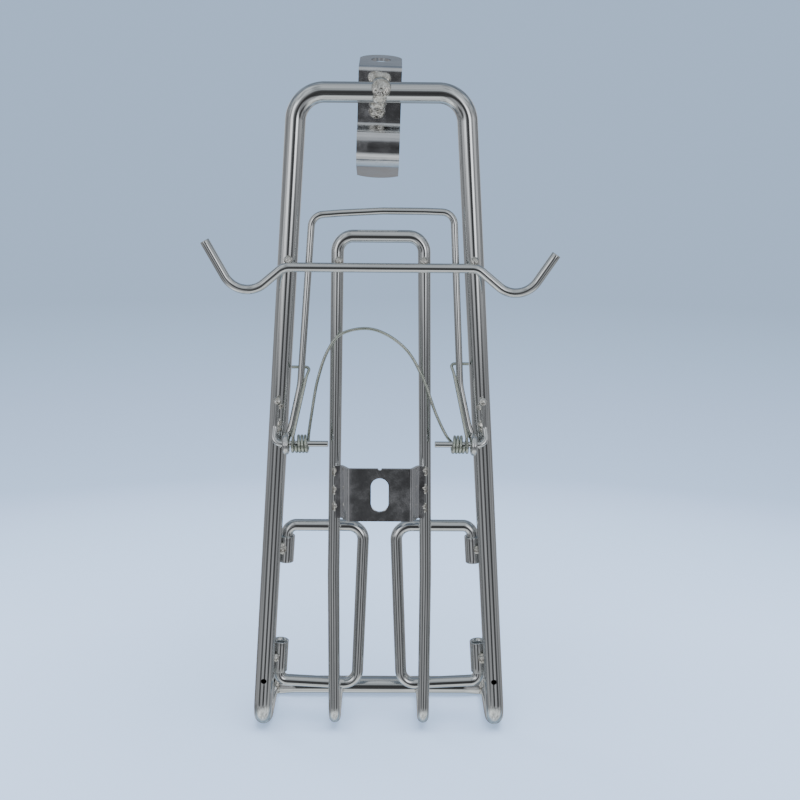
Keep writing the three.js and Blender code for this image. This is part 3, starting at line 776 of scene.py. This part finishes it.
def bail(material):
    eye = bail_x(0, EYE_INSET)
    half = [
        corner(eye, EYE_OVERLAP, EYE_RADIUS),
        corner(eye, -EYE_RADIUS, EYE_RADIUS, EYE_RADIUS),
        corner(eye, -EYE_RADIUS, -EYE_RADIUS, EYE_RADIUS),
        corner(eye, EYE_RADIUS, -EYE_RADIUS, EYE_RADIUS),
        corner(eye, bail_depth(EYE_RISE), EYE_RISE, 4),
        bail_arm(BAIL_KNEE_HEIGHT, BAIL_KNEE_INSET, 20),
        bail_arm(BAIL_ELBOW_HEIGHT, BAIL_ELBOW_INSET, 40),
        bail_arm(BAIL_TOP_HEIGHT, BAIL_TOP_INSET, 8),
    ]
    middle_height = BAIL_TOP_HEIGHT + BAIL_BOW
    corners = mirrored(half, [corner(0, bail_depth(middle_height), middle_height, 450)])
    for point, _ in corners:
        if point.z >= BAIL_TOP_HEIGHT:
            point.z += BAIL_TOP_TILT * ((point.x > 0) - (point.x < 0))
            point.x += BAIL_TOP_SHIFT
    corners = [(from_pivot(*point), bend) for point, bend in corners]
    line = bent_rod(corners, step=5, spacing=3)
    return rod("spring_bail_rod", line, BAIL_ROD, "bail", "polished_tube", material, "spring_bail", 0.4, 24)


def coil_point(along, angle):
    return from_pivot(along, COIL_RADIUS * math.cos(angle), COIL_RADIUS * math.sin(angle))


def coil_turns(side):
    """The turns of one coil, from its outer end to the arch's foot."""
    pitch = SPRING_WIRE + COIL_GAP
    steps = 40
    line = []
    for step in range(-round(COIL_TURNS * steps), 0):
        turns = step / steps
        line.append(coil_point(side * (coil_inner_end() - turns * pitch), turns * 2 * math.pi))
    return line


def arch_line():
    """The arch between the coils. Each point is a share of its half span and of its height."""
    outline = [
        (-1, 0),
        (-0.995, 0.053),
        (-0.952, 0.24),
        (-0.858, 0.56),
        (-0.715, 0.813),
        (-0.546, 0.947),
        (-0.2125, 1),
        (0.05, 0.96),
        (0.3625, 0.813),
        (0.585, 0.573),
        (0.785, 0.24),
        (0.93, 0.055),
        (1, 0),
    ]
    span = coil_inner_end()
    points = [from_pivot(x * span, COIL_RADIUS, z * ARCH_HEIGHT) for x, z in outline]
    return centripetal_curve(points, 12)


def centripetal_curve(points, parts):
    """A smooth curve through points, by centripetal Catmull-Rom."""
    padded = [points[0] * 2 - points[1]] + points + [points[-1] * 2 - points[-2]]
    line = []
    for i in range(len(points) - 1):
        a, b, c, d = padded[i : i + 4]
        gaps = [max(1e-6, (q - p).length ** 0.5) for p, q in ((a, b), (b, c), (c, d))]
        into = (b - a) / gaps[0] - (c - a) / (gaps[0] + gaps[1]) + (c - b) / gaps[1]
        out = (c - b) / gaps[1] - (d - b) / (gaps[1] + gaps[2]) + (d - c) / gaps[2]
        into, out = into * gaps[1], out * gaps[1]
        for j in range(parts):
            t = j / parts
            bend = (2 * b - 2 * c + into + out) * t**3 + (-3 * b + 3 * c - 2 * into - out) * t * t
            line.append(bend + into * t + b)
    return line + [points[-1]]


def clip_spring(material):
    line = coil_turns(-1) + arch_line() + coil_turns(1)[::-1]
    args = ("frame", "spring_wire", material, "clip_spring")
    return rod("clip_spring_wire", line, SPRING_WIRE, *args, edge=0.2, sides=14)


def spring_leg(side, material):
    """The spring's end: three quarters of a turn round the pin, then a leg that hooks behind the bail."""
    hook_height = SPRING_HOOK_HEIGHTS[side]
    along = side * (coil_inner_end() + (COIL_TURNS + 1) * (SPRING_WIRE + COIL_GAP))
    share = (hook_height - BAIL_ELBOW_HEIGHT) / (BAIL_TOP_HEIGHT - BAIL_ELBOW_HEIGHT)
    elbow_x = bail_x(BAIL_ELBOW_HEIGHT, BAIL_ELBOW_INSET)
    hook_x = elbow_x + (bail_x(BAIL_TOP_HEIGHT, BAIL_TOP_INSET) - elbow_x) * share
    hook_depth = bail_depth(hook_height) + BAIL_ROD / 2 + REST_GAP + SPRING_WIRE / 2
    steps = 30
    ring = [coil_point(along, math.pi * (2.5 - 1.5 * step / steps)) for step in range(steps)]
    route = [
        (along, -COIL_RADIUS, 0, 0),
        (along - side * 0.8, -COIL_RADIUS, 7, 6),
        (side * (hook_x - 3.3), hook_depth * 0.55, hook_height - 5, 8),
        (side * (hook_x - SPRING_HOOK_INSET), hook_depth, hook_height, 2),
        (side * (hook_x + SPRING_HOOK_OUT), hook_depth, hook_height, 0),
    ]
    leg = bent_rod([(from_pivot(x, y, z), bend) for x, y, z, bend in route], step=6, spacing=2)
    name = "spring_leg_" + SIDES[side]
    args = ("bail", "spring_wire", material, name)
    return rod(name + "_wire", ring + leg, SPRING_WIRE, *args, edge=0.2, sides=14)


# ---- Weld beads ----


def weld(name, spots, material):
    """One bead made of frozen pools. Each spot is (centre, outward direction, radius, height)."""
    bead = bmesh.new()
    for centre, outward, radius, height in spots:
        outward = Vector(outward).normalized()
        frame_of = outward.to_track_quat("Z", "Y").to_matrix().to_4x4()
        at = Matrix.Translation(place(centre)) @ frame_of
        lean = Matrix.Rotation(random.uniform(-0.2, 0.2), 4, "X")
        size = Matrix.Diagonal((radius * MM, radius * random.uniform(0.85, 1.1) * MM, height * MM, 1))
        bmesh.ops.create_icosphere(bead, subdivisions=3, radius=1, matrix=at @ lean @ size)
        add_pool_rings(bead, at, radius, height)
        weld_spots.append(place(centre))
    mesh = bpy.data.meshes.new(name)
    bead.to_mesh(mesh)
    bead.free()
    obj = piece(name, mesh, "frame", "polished_tube", material)
    modifier = obj.modifiers.new("fuse", "REMESH")
    modifier.mode = "VOXEL"
    modifier.voxel_size = 0.24 * MM
    modifier.use_smooth_shade = True
    smoothing = obj.modifiers.new("smooth", "SMOOTH")
    smoothing.factor = 0.5
    smoothing.iterations = 2
    apply_modifiers(obj)
    roughen(obj.data, 0.14)
    obj.data.materials.clear()
    obj.data.materials.append(material)
    return obj


def add_pool_rings(bead, at, radius, height):
    """The ridges that a pool leaves as it freezes inwards."""
    for share, thick in ((0.8, 0.34), (0.45, 0.26)):
        ring_radius = radius * share * random.uniform(0.92, 1.05)
        rise = height * math.sqrt(1 - share * share)
        tilt = random.uniform(0, 2 * math.pi)
        for i in range(16):
            angle = 2 * math.pi * i / 16 + tilt
            wobble = 1 + 0.06 * math.sin(2 * angle + tilt)
            spot = (ring_radius * wobble * math.cos(angle), ring_radius * wobble * math.sin(angle), rise)
            matrix = at @ Matrix.Translation(Vector(spot) * MM)
            bmesh.ops.create_icosphere(bead, subdivisions=1, radius=thick * MM, matrix=matrix)


def roughen(mesh, amount):
    """Moves each point along its normal by a little noise."""
    count = len(mesh.vertices) * 3
    points, normals = np.empty(count, np.float32), np.empty(count, np.float32)
    mesh.vertices.foreach_get("co", points)
    mesh.vertex_normals.foreach_get("vector", normals)
    points, normals = points.reshape(-1, 3), normals.reshape(-1, 3)
    moves = np.array([noise.noise(Vector(point) * 900) for point in points.tolist()], np.float32)
    points += normals * moves[:, None] * amount * MM
    mesh.vertices.foreach_set("co", points.ravel())
    mesh.update()


def hook_bar_welds(material):
    front = (HOOK_PLANE - TUBE_RADIUS) / 2
    above = HOOK_HEIGHT + HOOK_ROD / 2
    for side, label in SIDES.items():
        shift = 0.4 - 0.8 * side
        x = side * leg_x(HOOK_HEIGHT) + shift
        spots = [((x, front, above + 1.4), (0, -1, 0.8), 2.9, 2.0)]
        weld("weld_hook_leg_" + label, spots, material)
        x = side * hoop_x(HOOK_HEIGHT) + shift
        spots = [((x, front, above + 1.1), (0, -1, 0.8), 2.7, 1.9)]
        weld("weld_hook_hoop_" + label, spots, material)


def strap_weld(material):
    """Pools that run from the strap's web over the front of the top bar and down to the web again."""
    top = FRAME_TOP_HEIGHT
    web = STRAP_DEPTH - SHEET / 2
    spots = [
        ((-3.2, web - 0.4, top + 9.2), (0, -1, 0.25), 5.6, 1.5),
        ((1.6, web - 0.8, top + 8.6), (0, -1, 0.3), 4.0, 1.5),
        ((-1.2, web - 3.4, top + 6.4), (0, -0.6, 1), 4.8, 2.2),
        ((-0.2, -TUBE_RADIUS + 0.9, top + 2.4), (0, -1, 0.35), 6.2, 2.3),
        ((-1.2, -TUBE_RADIUS + 1.6, top - 3.4), (0, -1, -0.5), 4.6, 2.1),
        ((-2.6, web - 3.6, top - 6.8), (0, -0.9, -0.9), 5.4, 2.9),
        ((-3.0, web - 0.5, top - 11.2), (0, -1, -0.2), 5.2, 2.4),
    ]
    weld("weld_strap", spots, material)


def pin_welds(material):
    for side, label in SIDES.items():
        top = PIN_HEIGHT + PIN_POST_TOP - 0.6
        low = PIN_HEIGHT + 10
        spots = [
            ((side * (leg_x(top) + 1.0), -8.6, top), (side * 0.1, -1, 0.5), 2.7, 1.9),
            ((side * (leg_x(top) - 0.8), -7.2, top - 3.6), (-side * 0.5, -1, 0), 2.2, 1.6),
        ]
        weld("weld_pin_top_" + label, spots, material)
        spots = [
            ((side * (leg_x(low) - 0.2), -7.6, low + 2.2), (-side * 0.4, -1, 0.2), 2.9, 2.0),
            ((side * (leg_x(low) + 0.2), -7.8, low - 1.8), (-side * 0.4, -1, -0.2), 2.6, 1.9),
        ]
        weld("weld_pin_low_" + label, spots, material)


def plate_welds(material):
    edge = hoop_x(PLATE_HEIGHT) - PLATE_EDGE_INSET
    for side, label in SIDES.items():
        for i, above in enumerate((13, 1.5, -10.5)):
            z = PLATE_HEIGHT + above + random.uniform(-1, 1)
            spots = [
                ((side * (edge + 0.2), -7.0, z + 1.3), (side * 0.8, -1, 0), 2.2, 1.5),
                ((side * (edge + 0.4), -6.8, z - 1.3), (side * 0.8, -1, 0), 1.9, 1.4),
            ]
            weld(f"weld_plate_{label}_{i + 1}", spots, material)


SOCKET_TACKS = {(-1, "upper"): 3.1, (1, "upper"): 2.1, (-1, "lower"): 2.1, (1, "lower"): 2.8}


def socket_welds(material):
    """A tack of its own size in the front of each groove between a leg and a socket, and one behind."""
    reach = TUBE_RADIUS + 0.7
    for (side, kind), radius in SOCKET_TACKS.items():
        z = UPPER_SOCKET_TOP - 8.5 if kind == "upper" else LOWER_SOCKET_BOTTOM + 11.5
        front = leg_point(side, -side * reach, 0.9, z)
        back = leg_point(side, -side * (reach - 3.4), 8.2, z)
        spots = [(front, (-side * 0.35, -1, 0), radius, radius * 0.72)]
        spots.append((front + Vector((0, 0.8, radius * 0.9)), (-side * 0.4, -1, 0.5), radius * 0.7, 1.3))
        weld(f"weld_{kind}_socket_{SIDES[side]}_front", spots, material)
        spots = [(back, (side * 0.4, 1, 0), 2.4, 1.6)]
        weld(f"weld_{kind}_socket_{SIDES[side]}_back", spots, material)


def ring_weld(name, centre, axis, radius_a, radius_b, count, bead, material):
    """Pools all the way round a butt joint: centre and axis of the joint, and the bead's two radii."""
    axis = Vector(axis).normalized()
    up = Vector((0, 0, 1))
    side = axis.cross(up).normalized()
    spots = []
    for i in range(count):
        angle = 2 * math.pi * i / count + random.uniform(-0.08, 0.08)
        out = side * math.cos(angle) * radius_a + up * math.sin(angle) * radius_b
        spots.append((Vector(centre) + out, out + axis * 0.5, bead * random.uniform(0.9, 1.1), bead * 0.62))
    weld(name, spots, material)


def cross_tube_welds(material):
    end = leg_x(FOOT_HEIGHT) - TUBE_RADIUS + 0.6
    for side, label in SIDES.items():
        centre = (side * end, CROSS_SETBACK, CROSS_HEIGHT)
        radii = (TUBE_RADIUS - PINCH_DEPTH - 0.2, TUBE_RADIUS + PINCH_RISE - 1.55)
        ring_weld("weld_cross_" + label, centre, (-side, 0, 0), *radii, 18, 1.9, material)
        centre = (side * HOOP_FOOT_WIDTH / 2, CROSS_SETBACK - TUBE_RADIUS + 0.1, CROSS_HEIGHT)
        ring_weld("weld_hoop_foot_" + label, centre, (0, -1, 0), 4.0, 3.8, 14, 1.7, material)


HEAT_REACH = 7


def tint_near_welds():
    """Writes how close each point of the steel lies to a weld, for the heat tint."""
    spots = np.array(weld_spots)
    for obj in bpy.data.objects:
        if obj.type != "MESH" or obj.get("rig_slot") is None:
            continue
        points = np.empty(len(obj.data.vertices) * 3, np.float32)
        obj.data.vertices.foreach_get("co", points)
        points = points.reshape(-1, 3)
        nearest = np.full(len(points), 1e9)
        for spot in spots:
            nearest = np.minimum(nearest, np.linalg.norm(points - spot, axis=1))
        heat = np.exp(-((nearest / (HEAT_REACH * MM)) ** 2))
        made = obj.data.attributes.new("heat", "FLOAT", "POINT")
        made.data.foreach_set("value", heat.astype(np.float32))


# ---- Stage ----

# The room that the steel mirrors, as upright bands on dim walls. Each band is (middle, half width, light),
# by compass angle in degrees: 0 is in front of the rack and 90 is its +X side.
# The low bands are what it mirrors a little below the horizon.
WALL_LIGHT = 0.3
BAND_EDGE = 7
LEVEL_BANDS = [
    (-155, 5, 0.8),  # window behind, on the left
    (-65, 6, 0.7),
    (-37, 8, 1.8),  # left window
    (0, 6, 0.06),  # the dark doorway in front
    (26, 6, 1.9),  # right window
    (70, 8, 0.6),
    (155, 5, 0.8),  # window behind, on the right
]
LOW_BANDS = [
    (-155, 6, 0.5),
    (-47, 7, 0.1),
    (-22, 5, 0.5),
    (0, 6, 0.06),
    (22, 5, 0.4),
    (47, 7, 0.06),
    (155, 6, 0.5),
]
FLOOR_LIGHT = (0.92, 0.96, 0.98, 1)
FLOOR_BEHIND = (0.38, 0.50, 0.64, 1)
CEILING_LIGHT = (0.60, 0.64, 0.68, 1)
CEILING_BEHIND = (0.24, 0.29, 0.36, 1)
BACKDROP = (0.45, 0.62, 0.87)
BACKDROP_LOW = (0.77, 1.06, 1.56)
FLOOR_SEEN = (1.26, 1.74, 2.50)

# Where each part of the room blends into the next, along the direction's unit vector: its height in the
# first three, and how far it points in front of the rack in the last
LEVEL_TO_LOW = (-0.19, -0.05)
LOW_TO_FLOOR = (-0.78, -0.50)
LEVEL_TO_CEILING = (0.20, 0.48)
BEHIND_TO_FRONT = (-0.35, 0.1)

# In metres from the rack, where the floor starts to fade and where it is gone
FLOOR_FADE = (0.16, 0.62)
CAMERA_LENS, CAMERA_PLACE = 51.75, (5.24, -730, 418.4)
CAMERA_PITCH, CAMERA_YAW, CAMERA_ROLL = (math.radians(angle) for angle in (13.7, 0.6, 0.504))


def ramp(tree, value, stops):
    made = node(tree, "ShaderNodeValToRGB", {"Fac": value})
    elements = made.color_ramp.elements
    while len(elements) < len(stops):
        elements.new(0.5)
    for element, (position, colour) in zip(elements, stops):
        element.position = position
        element.color = (*colour, 1)
    return made.outputs["Color"]


def compass_ramp(tree, turn, bands):
    """Greys round the compass: each band's light, with soft edges that fall to the walls' light."""
    stops = []
    for middle, half_width, light in bands:
        stops.append((middle - half_width - BAND_EDGE, WALL_LIGHT))
        stops.append((middle - half_width, light))
        stops.append((middle + half_width, light))
        stops.append((middle + half_width + BAND_EDGE, WALL_LIGHT))
    stops.sort()
    greys = [((angle + 180) / 360, (light * 0.98, light, light * 1.05)) for angle, light in stops]
    return ramp(tree, turn, greys)


def studio_world():
    """A pale backdrop for the camera, and a room with windows and dark corners for the steel to mirror."""
    world = bpy.data.worlds.new("studio")
    bpy.context.scene.world = world
    world.use_nodes = True
    tree = world.node_tree
    background = tree.nodes["Background"]
    direction = node(tree, "ShaderNodeTexCoord").outputs["Generated"]
    split = node(tree, "ShaderNodeSeparateXYZ", {0: direction})
    height = split.outputs["Z"]
    forward = times(tree, split.outputs["Y"], -1.0)
    angle = node(tree, "ShaderNodeMath", {0: split.outputs["X"], 1: forward}, operation="ARCTAN2").outputs[0]
    turn = spread(tree, angle, 0.0, 1.0, -math.pi, math.pi)
    level, low = compass_ramp(tree, turn, LEVEL_BANDS), compass_ramp(tree, turn, LOW_BANDS)
    lit = mixed(tree, spread(tree, height, 1.0, 0.0, *LEVEL_TO_LOW), level, low)
    in_front = spread(tree, forward, 0.0, 1.0, *BEHIND_TO_FRONT)
    floor = mixed(tree, in_front, FLOOR_BEHIND, FLOOR_LIGHT)
    ceiling = mixed(tree, in_front, CEILING_BEHIND, CEILING_LIGHT)
    lit = mixed(tree, spread(tree, height, 1.0, 0.0, *LOW_TO_FLOOR), lit, floor)
    lit = mixed(tree, spread(tree, height, 0.0, 1.0, *LEVEL_TO_CEILING), lit, ceiling)
    blotches = noise_at(tree, direction, (3.1, 3.1, 4.2), 3)
    lit = mixed(tree, 1.0, lit, spread(tree, blotches, 0.55, 1.45, 0.35, 0.65), "MULTIPLY")
    seen = mixed(tree, spread(tree, height, 0.0, 1.0, -0.15, -0.33), (*BACKDROP, 1), (*BACKDROP_LOW, 1))
    seen = mixed(tree, spread(tree, height, 0.0, 1.0, -0.30, -0.41), seen, (*FLOOR_SEEN, 1))
    camera_ray = node(tree, "ShaderNodeLightPath").outputs["Is Camera Ray"]
    tree.links.new(mixed(tree, camera_ray, lit, seen), background.inputs["Color"])


def studio_floor():
    """A pale floor that fades into the backdrop with distance. The steel mirrors the room instead."""
    bpy.ops.mesh.primitive_grid_add(x_subdivisions=2, y_subdivisions=2, size=3.0)
    floor = bpy.context.object
    floor.name = "studio_floor"
    made = bpy.data.materials.new("studio_floor")
    made.use_nodes = True
    tree = made.node_tree
    shader = tree.nodes["Principled BSDF"]
    shader.inputs["Base Color"].default_value = (0.32, 0.43, 0.61, 1)
    shader.inputs["Emission Color"].default_value = (0.36, 0.48, 0.68, 1)
    shader.inputs["Emission Strength"].default_value = 1.0
    shader.inputs["Roughness"].default_value = 0.8
    shader.inputs["Specular IOR Level"].default_value = 0.1
    far = node(tree, "ShaderNodeVectorMath", {0: object_place(tree)}, operation="LENGTH").outputs["Value"]
    share = spread(tree, far, 0.0, 1.0, *FLOOR_FADE)
    clear = node(tree, "ShaderNodeBsdfTransparent").outputs[0]
    blend = node(tree, "ShaderNodeMixShader", {0: share, 1: shader.outputs[0], 2: clear})
    tree.links.new(blend.outputs[0], tree.nodes["Material Output"].inputs["Surface"])
    floor.data.materials.append(made)
    floor.visible_glossy = False


def soft_light(name, location, size, power):
    """A large soft light that the steel doesn't mirror."""
    data = bpy.data.lights.new(name, "AREA")
    data.shape = "DISK"
    data.size = size
    data.energy = power
    lamp = bpy.data.objects.new(name, data)
    bpy.context.scene.collection.objects.link(lamp)
    lamp.location = location
    aim = Vector((0, 0, 0.1)) - Vector(location)
    lamp.rotation_euler = aim.to_track_quat("-Z", "Y").to_euler()
    lamp.visible_camera = False
    lamp.visible_glossy = False


def studio_lights():
    soft_light("ceiling_light", (0.2, -0.5, 1.9), 1.7, 78)
    soft_light("window_light", (-1.3, 0.9, 1.3), 0.8, 10)


def camera():
    data = bpy.data.cameras.new("camera")
    data.lens = CAMERA_LENS
    data.sensor_width = 36
    view = bpy.data.objects.new("camera", data)
    bpy.context.scene.collection.objects.link(view)
    view.location = place(CAMERA_PLACE)
    turn = Matrix.Rotation(-CAMERA_YAW, 4, "Z") @ Matrix.Rotation(math.pi / 2 - CAMERA_PITCH, 4, "X")
    view.rotation_euler = (turn @ Matrix.Rotation(CAMERA_ROLL, 4, "Z")).to_euler()
    bpy.context.scene.camera = view


def build():
    steel = polished_steel()
    sheet = brushed_sheet()
    spring = zinc_wire()
    bead = weld_metal()
    outer_frame(steel)
    cross_tube(steel)
    inner_hoop(steel)
    hook_bar(steel)
    mount_plate(sheet)
    hanger_strap(sheet)
    for side in SIDES:
        foot_cap(side, steel)
        socket("upper", side, UPPER_SOCKET_TOP - UPPER_SOCKET_LENGTH, UPPER_SOCKET_LENGTH, steel)
        socket("lower", side, LOWER_SOCKET_BOTTOM, LOWER_SOCKET_LENGTH, steel)
        pivot_pin(side, steel)
        wing(side, steel)
        spring_leg(side, spring)
    bail(steel)
    clip_spring(spring)
    hook_bar_welds(bead)
    strap_weld(bead)
    pin_welds(bead)
    plate_welds(bead)
    socket_welds(bead)
    cross_tube_welds(bead)
    tint_near_welds()


camera()
build()
studio_floor()
studio_world()
studio_lights()
